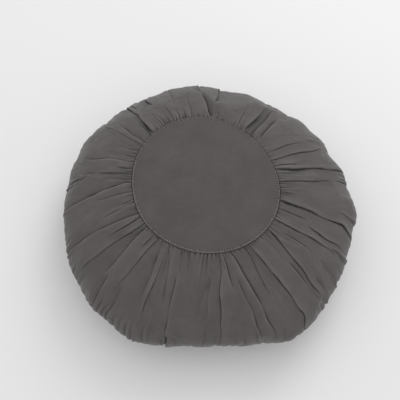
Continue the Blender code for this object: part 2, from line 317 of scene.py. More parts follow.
grid_share = shares[:, None]
column_seam = between_folds(fold_seam, 360.0)
column_rim = between_folds(fold_rim, 360.0)
column_hook = between_folds(fold_hook)
grid_seam, grid_rim = drifted(column_seam[None, :], column_rim[None, :], column_hook, grid_share)
spacing = np.diff(np.concatenate([grid_rim, grid_rim[:, :1] + 360.0], axis=1), axis=1)
print("columns at least", round(float(spacing.min()), 3), "degrees apart")
base = base_points(grid_seam, grid_rim, grid_share + 0.0 * grid_seam)
print("band grid", ROWS, "rows by", COLUMNS, "columns")

# %% [markdown]
# ## Directions on the band
#
# Folds lift and push the cloth, so each point needs three directions: along the column, around the
# rim, and square out of the surface. They come from differences between neighbours on the plain
# grid. The distance to the seams, measured over the surface, says how tightly a point is held.


# %% Directions and distances
def unit(vectors):
    return vectors / np.maximum(np.linalg.norm(vectors, axis=-1, keepdims=True), 1e-9)


def grid_directions(points):
    """(around, outward) unit vectors of a closed grid of points."""
    along = np.gradient(points, axis=0)
    around = np.roll(points, -1, axis=1) - np.roll(points, 1, axis=1)
    around = unit(around)
    return around, unit(np.cross(along, around))


around, outward = grid_directions(base)
steps = np.linalg.norm(np.diff(base, axis=0), axis=-1)
from_front = np.concatenate([np.zeros((1, COLUMNS)), np.cumsum(steps, axis=0)])
from_back = from_front[-1] - from_front
reach_out = np.linalg.norm(base[..., :2], axis=-1)
print("cloth from seam to seam", round(float(from_front[-1].mean()), 3), "m")

# %% [markdown]
# ## The shape of one fold
#
# Across a fold the cloth comes in almost level, dips under, turns sharply and comes back over
# itself as a rounded lip. The dip is the sum of a steep and a slow decay on one side and is much
# steeper on the other, with a low hump for the lip. A little sideways push slides the bottom under
# the lip, so the crease closes into the thin dark line that washed cotton shows. Creases break into
# short straight runs, so a small zigzag strays each one from its line.

# %% Height and sideways push of the folds
SLOW_SHARE = 0.13           # share of a fold's depth that fades slowly on its under side
SLOW_WIDE = 0.007
CREASE_STEEP = 0.0005
LIP_WIDE = 0.0017
LIP_SHARE = 0.33
TUCK = 0.0007               # how far the bottom of a crease slides under its lip
TUCK_WIDE = 0.0007
OVERHANG = 0.0009           # how far the lip leans over it
LIP_PLACE = 0.0017          # where the lip leans most, measured from the crease
LEAN_WIDE = 0.0012
# Where each fold's lip is painted paler in the colour, part rubbed wear and part painted highlight
LIP_WEAR_AND_HIGHLIGHT_PLACE = 0.0016
LIP_WEAR_AND_HIGHLIGHT_WIDE = 0.0010
FIRM_DEPTH = 0.003          # a fold this deep has a full tuck, lean and paler lip, part wear and part painted highlight
FRONT_DEPTH = 0.66          # share of the table's depths that shows
BACK_DEPTH = 0.0030
BACK_REACHES = (0.45, 1.15, 0.60, 1.35, 0.35, 0.85, 1.25, 0.30, 0.70)
SEWN_SHARE = 0.25
SEWN_REACH = 0.010
KINK = 0.0007               # how far a crease strays from its line, in short straight runs
KINK_REACH = 0.0026


def fold_strength(fold, share):
    """How deep a fold is along the band, from 0 to 1."""
    length = fold.end - fold.start
    opens = 1.0 if fold.start <= 0.0 else smooth((share - fold.start) / 0.10)
    return opens * smooth((fold.end - share) / (0.5 * length))


def zigzag(turns):
    """Straight runs to and fro between -1 and 1."""
    return np.arcsin(np.sin(turns)) * 2 / math.pi


def add_folds():
    """(height, sideways push, paler lip as wear and painted highlight) of all the folds at every point of the
    grid.
    """
    height = np.zeros((ROWS, COLUMNS))
    push = np.zeros((ROWS, COLUMNS))
    lip_wear_and_highlight = np.zeros((ROWS, COLUMNS))
    here = np.arctan2(base[..., 1], base[..., 0])
    for index, fold in enumerate(FOLDS):
        turn = fold_turn[index]
        seam_deg, rim_deg = drifted(fold.seam_deg, fold.rim_deg, fold.hook_deg, shares)
        line = base_points(seam_deg, rim_deg, shares)
        across = here - np.arctan2(line[:, 1], line[:, 0])[:, None]
        across = (np.mod(across + math.pi, 2 * math.pi) - math.pi) * reach_out
        uneven = 1.0 + 0.26 * np.sin(5.0 * turn + 11.0 * shares)
        uneven = uneven + 0.16 * np.sin(3.0 * turn + 23.0 * shares)
        back_reach = BACK_REACHES[index % len(BACK_REACHES)]
        front_depth = FRONT_DEPTH * fold.depth_mm * MM * fold_strength(fold, shares)
        back_depth = BACK_DEPTH * smooth((back_reach - (2.0 - shares)) / (0.6 * back_reach))
        depth = front_depth if fold.depth_mm < 0.0 else np.maximum(front_depth, back_depth)
        depth = (depth * uneven)[:, None]
        over = across * fold.lap
        below = np.minimum(over, 0.0)
        lip = np.maximum(over, 0.0) / LIP_WIDE
        steep = max(CREASE_STEEP, 0.25 * fold.wide_mm * MM)
        near_dip = (1.0 - SLOW_SHARE) * np.exp(below / (fold.wide_mm * MM))
        under_side = -near_dip - SLOW_SHARE * np.exp(below / SLOW_WIDE)
        lip_side = -np.exp(-np.maximum(over, 0.0) / steep) + LIP_SHARE * lip * np.exp(1.0 - lip)
        height += depth * np.where(over < 0.0, under_side, lip_side)
        firm = np.clip(depth / FIRM_DEPTH, 0.0, 1.2)
        tuck = TUCK * np.exp(-((over / TUCK_WIDE) ** 2))
        lean = OVERHANG * np.exp(-(((over - LIP_PLACE) / LEAN_WIDE) ** 2))
        push += firm * fold.lap * (tuck - lean)
        long_runs = zigzag(13.0 * shares + 7.0 * turn)
        short_runs = zigzag(31.0 * shares + 5.0 * turn)
        stray = KINK * (0.6 * long_runs + 0.4 * short_runs)
        push += np.minimum(firm, 1.0) * stray[:, None] * np.exp(-((over / KINK_REACH) ** 2))
        lip_wear_and_highlight += firm * np.exp(-(((over - LIP_WEAR_AND_HIGHLIGHT_PLACE) / LIP_WEAR_AND_HIGHLIGHT_WIDE) ** 2))
    held = SEWN_SHARE + (1.0 - SEWN_SHARE) * smooth(np.minimum(from_front, from_back) / SEWN_REACH)
    return height * held, push * held, lip_wear_and_highlight


fold_height, fold_push, fold_lip_wear_and_highlight = add_folds()
fold_span = (fold_height.min(), fold_height.max())
print("folds reach", [round(float(height) * 1000, 1) for height in fold_span], "mm")

# %% [markdown]
# ## Fine gathers at the seams
#
# A gathering thread draws the band up to a fraction of its length, so the cloth stands in small
# ridges a few millimetres apart, with sharp valleys between them, that die out within a centimetre
# or two. Each valley runs along a column of the grid, or it would be blunted, and nearly every fold
# starts from one. Their pitches, heights and reaches are drawn at random from a seeded generator,
# which keeps every run the same. A short table says where they stand higher.

# %% Height of the gathers
GATHER_PITCH = 0.0036
GATHER_HEIGHT = 0.0025
GATHER_REACHES = (0.0028, 0.0035, 0.005, 0.007, 0.013)
DRAW_IN = 0.0007
DRAW_IN_REACH = 0.008
Strength = namedtuple("Strength", "angle_deg times")
GATHERED = [Strength(*row) for row in (
    (0, 1.1), (30, 0.9), (60, 1.2), (90, 1.6), (120, 1.5), (150, 1.2), (180, 1.0), (215, 0.8),
    (235, 1.2), (260, 0.8), (285, 1.1), (320, 1.2), (345, 1.3), (360, 1.1),
)]


def times_at(table, angle_deg):
    """How many times as strong as usual, in many directions, on straight lines between the rows."""
    angles, times = zip(*table)
    return np.interp(angle_deg % 360.0, angles, times)


def walk_round(ring):
    """Distances walked along a closed ring of points, one for each point and one for the return."""
    steps = np.linalg.norm(np.roll(ring, -1, axis=0) - ring, axis=1)
    return np.concatenate([[0.0], np.cumsum(steps)])


def valley_columns(along, pitch, nearest, least, draw):
    """Columns of the valleys, about a pitch apart, and at a fold where there is room for one."""
    valleys = [0]
    wanted = pitch
    for column in range(1, COLUMNS):
        walked = along[column] - along[valleys[-1]]
        if walked >= wanted or (column_part[column] == 0.0 and walked > nearest * pitch):
            valleys.append(column)
            wanted = pitch * draw.uniform(least, 1.5)
    return valleys + [COLUMNS]


def ridges_between(valleys, along):
    """(columns, how far across) of the ridge between each valley and the next."""
    for start, end in zip(valleys, valleys[1:]):
        inside = np.arange(start, end)
        yield inside, (along[inside] - along[start]) / (along[end] - along[start])


def gathers(distance, seed):
    """Height of one seam's gathers, which fade with the distance from it."""
    draw = np.random.default_rng(seed)
    along = walk_round(on_plan(column_seam, radius(SEAM, column_seam)))
    valleys = valley_columns(along, GATHER_PITCH, 0.45, 0.55, draw)
    strength = times_at(GATHERED, column_seam)
    height = np.zeros((ROWS, COLUMNS))
    for inside, phase in ridges_between(valleys, along):
        tall = GATHER_HEIGHT * draw.uniform(0.3, 1.3) * strength[inside[0]]
        reach = draw.choice(GATHER_REACHES) * draw.uniform(0.8, 1.3)
        ridge = np.sin(math.pi * phase) ** 0.55 - 0.68
        height[:, inside] += tall * ridge * np.exp(-((distance[:, inside] / reach) ** 1.3))
    return height, len(valleys) - 1


front_gathers, front_count = gathers(from_front, 5)
back_gathers, back_count = gathers(from_back, 6)
gather_height = front_gathers + back_gathers
draw_in = DRAW_IN * np.exp(-from_front / DRAW_IN_REACH)
print(front_count, "gathers at the front seam and", back_count, "at the back")

# %% [markdown]
# ## Tucks over the rim
#
# The band has more cloth than the rim needs too, so it crinkles where it turns over. These short
# tucks scallop the outline, most of all at the lower left and at the right, where the cloth is
# pushed together. They are made as the gathers are, with a valley on a column, but they swell and
# fade on both sides of the rim.

# %% Height of the rim's tucks
TUCK_PITCH = 0.011
TUCK_HEIGHT = 0.0021
CRINKLED = [Strength(*row) for row in (
    (0, 0.9), (22, 0.7), (45, 0.3), (75, 0.4), (100, 0.9), (125, 1.1), (155, 0.4), (180, 0.8),
    (205, 1.0), (240, 1.0), (262, 0.5), (285, 0.9), (305, 0.9), (325, 0.5), (345, 0.8), (360, 0.9),
)]


def rim_tucks(seed):
    """Height of the short tucks where the band turns over the rim."""
    draw = np.random.default_rng(seed)
    along = walk_round(base[rim_row])
    valleys = valley_columns(along, TUCK_PITCH, 0.5, 0.6, draw)
    strength = times_at(CRINKLED, column_rim)
    height = np.zeros((ROWS, COLUMNS))
    for inside, phase in ridges_between(valleys, along):
        tall = TUCK_HEIGHT * draw.uniform(0.4, 1.2) * strength[inside].mean()
        opens = draw.uniform(0.55, 0.92)
        closes = draw.uniform(1.15, 1.6)
        fade = smooth((shares - opens) / 0.22) * smooth((closes - shares) / 0.35)
        ridge = np.sin(math.pi * phase) ** 0.7 - 0.62
        height[:, inside] += tall * ridge * fade[:, None]
    return height, len(valleys) - 1


rim_row = int(np.argmin(np.abs(shares - 1.0)))
tuck_height, tuck_count = rim_tucks(8)
print(tuck_count, "tucks over the rim, up to", round(float(tuck_height.max()) * 1000, 2), "mm high")

# %% [markdown]
# ## Faint creases
#
# Washed cotton that has been squeezed and let go keeps faint creases between its folds. They run
# roughly with them, but at a slant, and each is a low ridge or dent of half a millimetre that only a
# slanting light shows. About two hundred are strewn over the band at random, from a fixed seed.

# %% Height of the faint creases
FAINT_COUNT = 210
FAINT_DEPTH = 0.00060
FAINT_COLUMNS = 30          # how many columns to either side a faint crease reaches at most

row_steps = np.linalg.norm(np.roll(base, -1, axis=1) - base, axis=-1)
row_walk = np.concatenate([np.zeros((ROWS, 1)), np.cumsum(row_steps, axis=1)], axis=1)


def faint_creases(seed):
    """Height of the slanting faint creases."""
    draw = np.random.default_rng(seed)
    height = np.zeros((ROWS, COLUMNS))
    for _ in range(FAINT_COUNT):
        column = int(draw.integers(COLUMNS))
        near = np.arange(column - FAINT_COLUMNS, column + FAINT_COLUMNS + 1)
        laps = near // COLUMNS
        walk = row_walk[:, near % COLUMNS] + laps * row_walk[:, -1:]
        middle = draw.uniform(0.05, 1.5)
        half = draw.uniform(0.08, 0.26)
        down = from_front[:, near % COLUMNS] - np.interp(middle, shares, from_front[:, column])
        across = walk - row_walk[:, column : column + 1] - draw.normal(0.0, 0.28) * down
        wide = draw.uniform(0.0013, 0.0045)
        edge = across / wide
        line = draw.choice([-1.0, 1.0, 0.0]) * np.exp(-np.abs(edge))
        step = draw.choice([-1.0, 1.0]) * edge * np.exp(-np.abs(edge))
        fade = smooth(1.0 - np.abs(shares - middle) / half)[:, None]
        height[:, near % COLUMNS] += FAINT_DEPTH * draw.uniform(0.4, 1.3) * (line + step) * fade
    return height


faint_height = faint_creases(17)
print(FAINT_COUNT, "faint creases, rms", round(float(faint_height.std()) * 1000, 3), "mm")

# %% [markdown]
# ## Soft unevenness
#
# Loose filling never lies even. A few slow waves round the band, longer along the columns than
# across them, keep the broad stretches between folds from looking turned on a lathe.

# %% Slow waves in the filling
WAVE_HEIGHT = 0.0006
WAVE_HELD = 0.03            # within this distance of a seam the waves die out
LIP_WEAR_AND_HIGHLIGHT_MM = 1.3             # a paler lip, part wear and part painted highlight, counts as this much higher in the cloth's colour


def slow_waves(seed, count=26):
    draw = np.random.default_rng(seed)
    turn = np.radians(grid_rim)
    total = np.zeros((ROWS, COLUMNS))
    for _ in range(count):
        lobes = draw.integers(4, 34)
        slant = draw.uniform(-3.0, 3.0)
        length = draw.uniform(1.0, 4.5)
        wave = np.sin(lobes * turn + slant * grid_share + draw.uniform(0, 6.28))
        total += wave * np.cos(length * grid_share + draw.uniform(0, 6.28)) * (14.0 / (lobes + 14.0))
    return total / total.std()


waves = WAVE_HEIGHT * slow_waves(3) * smooth(np.minimum(from_front, from_back) / WAVE_HELD)
relief_height = fold_height + gather_height + tuck_height + faint_height
# Extra depth for gathers and tucks paints their valleys darker, a painted shade; the lip term paints fold
# lips paler, part wear and part painted highlight
relief_mm = 1000 * (relief_height + 0.5 * gather_height + 0.3 * tuck_height) + LIP_WEAR_AND_HIGHLIGHT_MM * fold_lip_wear_and_highlight
height = relief_height - draw_in + waves
shaped = base + outward * height[..., None] + around * fold_push[..., None]
shaped[..., :2] += CENTRE
shaped[..., 2] = np.maximum(shaped[..., 2], REST_LIFT)
print("shaped band", shaped.reshape(-1, 3).min(0).round(4), shaped.reshape(-1, 3).max(0).round(4))

# %% [markdown]
# ## Skinning a grid
#
# Band and panels are all closed forms made of rings of points, so one function skins them. Under
# each panel the band has a shallow seat, which closes the filling.


# %% Closed mesh over rings of points
def closed_grid(name, rows, first_pole, last_pole):
    """Closed mesh over rows of points, with a fan to a pole at each end."""
    count = rows.shape[1]
    points = [tuple(point) for point in rows.reshape(-1, 3)]
    points += [tuple(first_pole), tuple(last_pole)]
    first, last = len(points) - 2, len(points) - 1
    faces = []
    for row in range(len(rows) - 1):
        low = row * count
        high = low + count
        for k in range(count):
            after = (k + 1) % count
            faces.append((low + k, high + k, high + after, low + after))
    end = (len(rows) - 1) * count
    for k in range(count):
        after = (k + 1) % count
        faces.append((first, k, after))
        faces.append((last, end + after, end + k))
    mesh = bpy.data.meshes.new(name)
    mesh.from_pydata(points, [], faces)
    mesh.update()
    piece = bpy.data.objects.new(name, mesh)
    bpy.context.scene.collection.objects.link(piece)
    mesh.shade_smooth()
    return piece


def seat_rows(height_at, count):
    """Rows of the seat under a panel, from its middle to just inside the seam."""
    rows = []
    for share in np.linspace(0.25, 1.0, count):
        ring = on_plan(column_seam, share * radius(SEAM, column_seam)) + CENTRE
        rows.append(np.concatenate([ring, np.full((COLUMNS, 1), height_at(share))], -1))
    return np.array(rows)


def crown(share):
    return PANEL_CROWN * (1.0 - share**2)


SEATS = 4
front_seat = seat_rows(lambda share: SEAM_TOP - PANEL_THICK - SEAT_GAP + crown(share), SEATS)
back_seat = seat_rows(lambda share: PANEL_THICK + SEAT_GAP, SEATS)[::-1]
front_pole = (CENTRE[0], CENTRE[1], SEAM_TOP - PANEL_THICK - SEAT_GAP + crown(0.0))
back_pole = (CENTRE[0], CENTRE[1], PANEL_THICK + SEAT_GAP)

# %% [markdown]
# ## The filling presses the cloth out
#
# Folds drawn by a formula are too clean. Blender's cloth finds how the real strip would settle: the
# filling pushes from inside, both seams hold, and the cloth, a little larger than its shape, buckles
# into soft dents between the folds. It runs on every third column and second row, with no gravity,
# and only its uneven part is kept: the mean swelling of each row is taken off and no point may move
# further than a few millimetres, so the outline stays. The movement is then spread smoothly over
# the fine grid, whose creases stay sharp.

# %% Cloth simulation on a coarser grid
COARSE_ROWS = 2
COARSE_COLUMNS = 3
SIM_FRAMES = 20
FILLING_PRESSURE = 4.0
SPARE_CLOTH = 0.03
MOST_MOVE = 0.0045


def pressed_out(points):
    """Movement of the coarse grid of points after the filling has pressed on it."""
    count = points.shape[1]
    first = front_seat[:, ::COARSE_COLUMNS]
    last = back_seat[:, ::COARSE_COLUMNS]
    sim = closed_grid("pressing", np.concatenate([first, points, last]), front_pole, back_pole)
    sewn = sim.vertex_groups.new(name="sewn")
    total = len(sim.data.vertices)
    sewn.add(list(range((SEATS + 1) * count)), 1.0, "REPLACE")
    sewn.add(list(range(total - 2 - (SEATS + 1) * count, total)), 1.0, "REPLACE")
    cloth = sim.modifiers.new("filling", "CLOTH")
    settings = cloth.settings
    settings.quality = 6
    settings.mass = 0.25
    settings.tension_stiffness = 12.0
    settings.compression_stiffness = 12.0
    settings.shear_stiffness = 4.0
    settings.bending_stiffness = 0.2
    settings.use_pressure = True
    settings.uniform_pressure_force = FILLING_PRESSURE
    settings.shrink_min = -SPARE_CLOTH
    settings.vertex_group_mass = "sewn"
    settings.effector_weights.gravity = 0.0
    cloth.collision_settings.use_collision = False
    cloth.collision_settings.use_self_collision = False
    scene = bpy.context.scene
    scene.frame_start = 1
    scene.frame_end = SIM_FRAMES
    for frame_number in range(1, SIM_FRAMES + 1):
        scene.frame_set(frame_number)
    settled = sim.evaluated_get(bpy.context.evaluated_depsgraph_get())
    places = np.empty(total * 3)
    settled.data.vertices.foreach_get("co", places)
    scene.frame_set(1)
    bpy.data.objects.remove(sim)
    places = places.reshape(-1, 3)[SEATS * count : SEATS * count + points.shape[0] * count]
    return places.reshape(points.shape) - points


def finer(values, times, axis, closed):
    """Values between the rows or columns of a coarse grid, on smooth curves through them."""
    values = np.moveaxis(values, axis, 0)
    count = len(values)
    spans = count if closed else count - 1
    place = np.arange(spans * times + (0 if closed else 1)) / times
    here = np.minimum(place.astype(int), spans - 1)
    part = (place - here).reshape(-1, *[1] * (values.ndim - 1))

    def near(step):
        return values[(here + step) % count] if closed else values[np.clip(here + step, 0, count - 1)]

    before, start, end, beyond = (near(step) for step in (-1, 0, 1, 2))
    slope = end - before
    bend = 2 * before - 5 * start + 4 * end - beyond
    twist = 3 * (start - end) + beyond - before
    curve = start + 0.5 * part * (slope + part * (bend + part * twist))
    return np.moveaxis(curve, 0, axis)


coarse = shaped[::COARSE_ROWS, ::COARSE_COLUMNS]
move = pressed_out(coarse)
square = outward[::COARSE_ROWS, ::COARSE_COLUMNS]
swell = (move * square).sum(-1)
mean_mm, uneven_mm = (round(float(size) * 1000, 2) for size in (swell.mean(), swell.std()))
print("filling swells the band by", mean_mm, "mm, uneven by", uneven_mm)
move -= square * swell.mean(axis=1)[:, None, None]
far = np.linalg.norm(move, axis=-1, keepdims=True)
move *= MOST_MOVE * np.tanh(far / MOST_MOVE) / np.maximum(far, 1e-9)
shaped = shaped + finer(finer(move, COARSE_ROWS, 0, False), COARSE_COLUMNS, 1, True)
shaped[..., 2] = np.maximum(shaped[..., 2], REST_LIFT)
print("pressed band", shaped.reshape(-1, 3).min(0).round(4), shaped.reshape(-1, 3).max(0).round(4))

# %% [markdown]
# ## Building the band's mesh
#
# The grid becomes one closed mesh. Its UV map holds the cloth's own measure in metres: along the
# strip, and from seam to seam. A weave drawn on it bends with every fold. A point attribute keeps
# the height of the relief, with extras, from which the material paints shade into the valleys and a
# paler tone onto ridges and fold lips, part wear and part painted highlight.

# %% Mesh of the band
def cloth_measure(piece, across, down):
    """UV map in metres for a closed grid: a value for each column, and one for each point."""
    down = np.concatenate([down, down[:, :1]], axis=1)
    place = np.stack([np.broadcast_to(across, down.shape), down], -1)
    quads = np.stack([place[:-1, :-1], place[1:, :-1], place[1:, 1:], place[:-1, 1:]], axis=2)
    first = np.stack([place[0, :-1], place[0, :-1], place[0, 1:]], axis=1)
    last = np.stack([place[-1, :-1], place[-1, 1:], place[-1, :-1]], axis=1)
    fans = np.stack([first, last], axis=1)
    loops = np.concatenate([quads.reshape(-1, 2), fans.reshape(-1, 2)])
    layer = piece.data.uv_layers.new(name="cloth_metres")
    layer.data.foreach_set("uv", loops.astype(np.float32).ravel())


def keep_relief(piece, relief_mm):
    """Point attribute in millimetres, the relief's height with the extras that paint shade and highlight."""
    values = np.zeros(len(piece.data.vertices), np.float32)
    values[: relief_mm.size] = relief_mm.ravel()
    piece.data.attributes.new("relief", "FLOAT", "POINT").data.foreach_set("value", values)


band_rows = np.concatenate([front_seat, shaped, back_seat])
band = closed_grid("gathered_band_cloth", band_rows, front_pole, back_pole)

strip = walk_round(base[rim_row])
seat_depth = np.linspace(-0.03, 0.0, SEATS)[:, None] + np.zeros((1, COLUMNS))
cloth_measure(band, strip, np.concatenate([seat_depth, from_front, from_front[-1:] - seat_depth[::-1]]))
flat_seat = np.zeros((SEATS, COLUMNS))
keep_relief(band, np.concatenate([flat_seat, relief_mm, flat_seat]))
band.data.calc_loop_triangles()
print("band mesh", len(band.data.loop_triangles), "triangles, round the rim", round(float(strip[-1]), 3), "m")

# %% [markdown]
# ## The two round panels
#
# Each panel is a disc of the same cotton. Its edge is turned in, laid over the gathers and
# topstitched 2 to 3 mm from the fold, so a slim rounded roll runs round the disc, with a sunk line
# of stitches inside it. The thread draws the roll into a small pucker at each stitch. A flat disc
# with a bump map would look pasted on, so the roll, the sunk line and the puckers are modelled as
# rings of points on a fine polar grid.

# %% Panels with a turned and topstitched edge
SECTORS = 720
STITCH_INSET = 0.0025
STITCHES = 168
EDGE_CLEAR = 0.00035
ROLL_HEIGHT = 0.0009
ROLL_WIDE = 0.0021
SUNK = 0.0003
PUCKER = 0.00075
WOBBLE = 0.00050
PUCKER_PLACE = 0.0014       # middle of the puckers, measured from the outer fold
PUCKER_WIDE = 0.0018
WOBBLE_REACH = 0.004
SUNK_WIDE = 0.0006
HEM_HEIGHT = 0.00025        # the cloth turned under, which stops 4 to 8 mm from the fold
HEM_END = 0.008
HEM_FADE = 0.004
FOLD_DROP = 0.0007          # how far the outer fold rounds down
FOLD_WIDE = 0.00025
BACK_FACE = 0.0012          # height of the back panel's face above the surface it lies on
TOP_RINGS_MM = (
    0.12, 0.35, 0.7, 1.05, 1.4, 1.75, 2.1, 2.5, 2.9, 3.3, 3.9,
    5.0, 6.4, 8, 10, 13, 17, 23, 31, 42, 56, 72,
)
UNDER_RINGS_MM = (60.0, 25.0, 8.0, 1.5, 0.3)

panel_deg = np.arange(SECTORS) * 360.0 / SECTORS
panel_radius = radius(SEAM, panel_deg) - EDGE_CLEAR
ring_walk = walk_round(on_plan(panel_deg, panel_radius))
ring_share = ring_walk[:-1] / ring_walk[-1]
stitch_pitch_mm = round(float(ring_walk[-1]) / STITCHES * 1000, 2)
print("seam", round(float(ring_walk[-1]), 3), "m long, a stitch every", stitch_pitch_mm, "mm")


def pucker_waves(seed):
    """Uneven ripple with one wave to a stitch, all the way round."""
    draw = np.random.default_rng(seed)
    turn = ring_share * 2 * math.pi
    loose = sum(np.sin(lobes * turn + draw.uniform(0, 6.28)) for lobes in (5, 11, 17, 29)) / 4
    wander = sum(np.sin(lobes * turn + draw.uniform(0, 6.28)) / lobes for lobes in (3, 7, 13))
    odd = sum(np.sin(lobes * turn + draw.uniform(0, 6.28)) for lobes in (61, 83, 101, 127)) / 4
    return (0.75 + 0.45 * loose) * np.cos(STITCHES * turn + 1.5 * wander) + 0.8 * odd


def edge_profile(inset):
    """Height of the turned edge above the plain disc at a distance from its outer fold."""
    roll = ROLL_HEIGHT * np.sin(math.pi * np.clip(inset / ROLL_WIDE, 0.0, 1.0)) ** 0.8
    sunk = SUNK * np.exp(-(((inset - STITCH_INSET) / SUNK_WIDE) ** 2))
    hem = HEM_HEIGHT * smooth((HEM_END - inset) / HEM_FADE)
    return roll - sunk + hem


def at_height(plan, height):
    """Points of a ring on plan, lifted to one height or to a height for each."""
    return np.concatenate([plan, np.broadcast_to(height, SECTORS)[:, None]], -1)


def panel_rows(seed, face_height, under_height, way):
    """Rows of one panel from the middle of its hidden side round the edge to the middle of its face."""
    ripple = pucker_waves(seed)
    wobble = WOBBLE * (0.5 + 0.35 * pucker_waves(seed + 50))
    rows = []
    for inset in (ring * MM for ring in UNDER_RINGS_MM):
        share = 1.0 - inset / panel_radius
        rows.append(at_height(on_plan(panel_deg, share * panel_radius), under_height(share)))
    edge_height = (under_height(1.0) + face_height(1.0)) / 2
    rows.append(at_height(on_plan(panel_deg, panel_radius - wobble), edge_height))
    relief_rows = [0.0 * panel_deg for _ in rows]
    for inset in (ring * MM for ring in TOP_RINGS_MM):
        share = 1.0 - inset / panel_radius
        near = math.exp(-(((inset - PUCKER_PLACE) / PUCKER_WIDE) ** 2))
        plan = on_plan(panel_deg, share * panel_radius - wobble * math.exp(-inset / WOBBLE_REACH))
        high = edge_profile(inset) + PUCKER * ripple * near - FOLD_DROP * math.exp(-inset / FOLD_WIDE)
        # The edge's height also paints the roll paler in the cotton, part wear and part painted highlight
        relief_rows.append(1000 * high)
        rows.append(at_height(plan, face_height(share) + way * high))
    rows = np.array(rows)
    rows[..., :2] += CENTRE
    rows[..., 2] = np.maximum(rows[..., 2], 0.0)
    return rows, np.array(relief_rows)


def make_panel(name, seed, face_height, under_height, way):
    """Panel that faces up when way is 1 and down when it is -1."""
    rows, relief = panel_rows(seed, face_height, under_height, way)
    poles = [(*CENTRE, under_height(0.0)), (*CENTRE, face_height(0.0))]
    piece = closed_grid(name, rows[::-way], *poles[::-way])
    keep_relief(piece, relief[::-way])
    return piece, rows


front_cloth, front_rows = make_panel(
    "front_panel_cloth",
    11,
    lambda share: SEAM_TOP + crown(share),
    lambda share: SEAM_TOP - PANEL_THICK + crown(share),
    1,
)

# The back lies on its turned edge, so its face is level with the roll's top
back_cloth, back_rows = make_panel(
    "back_panel_cloth", 12, lambda share: BACK_FACE, lambda share: PANEL_THICK, -1
)
for piece in (front_cloth, back_cloth):
    print(piece.name, len(piece.data.polygons), "faces", [round(v, 4) for v in piece.dimensions])

# %% [markdown]
# ## Topstitching
#
# A stitch of thread is a short fat strand that rises out of the cloth, lies on it and dives in
# again. One is modelled as by hand: a six-sided cylinder, cut across into short lengths, its ends
# pressed down and narrowed in edit mode. It is then copied round the sunk line, each copy with its
# own mesh, a slightly different turn and depth, and all are joined into one piece.

# %% One stitch, copied round a seam
STITCH_LENGTH = 0.0025
THREAD_RADIUS = 0.00029
END_DIVE = 0.0005           # how far the ends of a stitch dip into the cloth
STITCH_RING = len(UNDER_RINGS_MM) + 1 + TOP_RINGS_MM.index(2.5)
FRONT_LIFT = 0.0003         # how far the thread lies above the cloth
BACK_LIFT = -0.0002         # the same for the back, which faces down
STRAY = 0.06                # how unevenly the stitches are spaced, as a share of their pitch
SLANT = 0.05
LIFT_STRAY = 0.00004


def model_stitch():
    """Stitch along X, its middle at the origin."""
    bpy.ops.object.select_all(action="DESELECT")
    bpy.ops.mesh.primitive_cylinder_add(
        vertices=6, radius=THREAD_RADIUS, depth=STITCH_LENGTH, rotation=(0, math.pi / 2, 0)
    )
    stitch = bpy.context.active_object
    bpy.ops.object.transform_apply(location=True, rotation=True, scale=True)
    bpy.ops.object.mode_set(mode="EDIT")
    for share in (-0.3, 0.0, 0.3):
        bpy.ops.mesh.select_all(action="SELECT")
        bpy.ops.mesh.bisect(plane_co=(share * STITCH_LENGTH, 0, 0), plane_no=(1, 0, 0))
    bpy.ops.mesh.select_all(action="DESELECT")
    bpy.ops.object.mode_set(mode="OBJECT")
    for vertex in stitch.data.vertices:
        vertex.select = abs(vertex.co.x) > 0.45 * STITCH_LENGTH
    for edge in stitch.data.edges:
        edge.select = all(stitch.data.vertices[k].select for k in edge.vertices)
    bpy.ops.object.mode_set(mode="EDIT")
    bpy.ops.transform.translate(value=(0, 0, -END_DIVE))
    bpy.ops.transform.resize(value=(0.94, 0.6, 0.8))
    bpy.ops.object.mode_set(mode="OBJECT")
    stitch.data.shade_smooth()
    return stitch


def stitch_row(name, model, rows, ring, seed, lift):
    """Copies of the model along one ring of a panel's grid."""
    draw = np.random.default_rng(seed)
    line = rows[ring]
    loop = np.concatenate([line, line[:1]])
    travelled = walk_round(line)
    copies = []
    for k in range(STITCHES):
        middle = (k + draw.uniform(-STRAY, STRAY)) / STITCHES * travelled[-1]
        ends = [(middle + side * STITCH_LENGTH / 2) % travelled[-1] for side in (-1, 1)]
        tail, tip = (Vector([np.interp(end, travelled, axis) for axis in loop.T]) for end in ends)
        ahead = (tip - tail).normalized()
        up = Vector((0, 0, 1)) if lift > 0 else Vector((0, 0, -1))
        side = up.cross(ahead).normalized()
        ahead = (ahead + side * draw.normal(0, SLANT)).normalized()
        side = up.cross(ahead).normalized()
        place = (tail + tip) / 2 + up * (abs(lift) + draw.normal(0, LIFT_STRAY))
        copy = bpy.data.objects.new(f"{name}_{k}", model.data.copy())
        turn = Matrix((ahead, side, up)).transposed().to_4x4()
        copy.data.transform(Matrix.Translation(place) @ turn)
        bpy.context.scene.collection.objects.link(copy)
        copies.append(copy)
    bpy.ops.object.select_all(action="DESELECT")
    for copy in copies:
        copy.select_set(True)
    bpy.context.view_layer.objects.active = copies[0]
    bpy.ops.object.join()
    copies[0].name = name
    return copies[0]


model = model_stitch()
front_thread = stitch_row("front_topstitching", model, front_rows, STITCH_RING, 31, FRONT_LIFT)
back_thread = stitch_row("back_topstitching", model, back_rows, STITCH_RING, 32, BACK_LIFT)
bpy.data.objects.remove(model)
for piece in (front_thread, back_thread):
    print(piece.name, len(piece.data.polygons), "faces")

# %% [markdown]
# ## The cotton
#
# Washed plain-weave cotton is matt, with a little sheen where fibre ends catch the light. Its colour
# is never one flat tone: the threads vary and the dye is mottled. On top of that, creases and valleys
# are painted darker as painted shade, and raised folds, fold lips and the panels' turned roll are
# painted paler, part rubbed wear and part painted highlight. The weave is two crossed waves of thread
# at about half a millimetre, in bump only, with slubs stretched along the threads. Under it lie the
# faint facets of cloth that was crumpled in the wash, from bent Voronoi cells. On the band it all
# follows the UV map, so it turns with the cloth. On the flat panels the object's own coordinates do
# as well.

# %% Cotton material
THREAD_PITCH = 0.00052


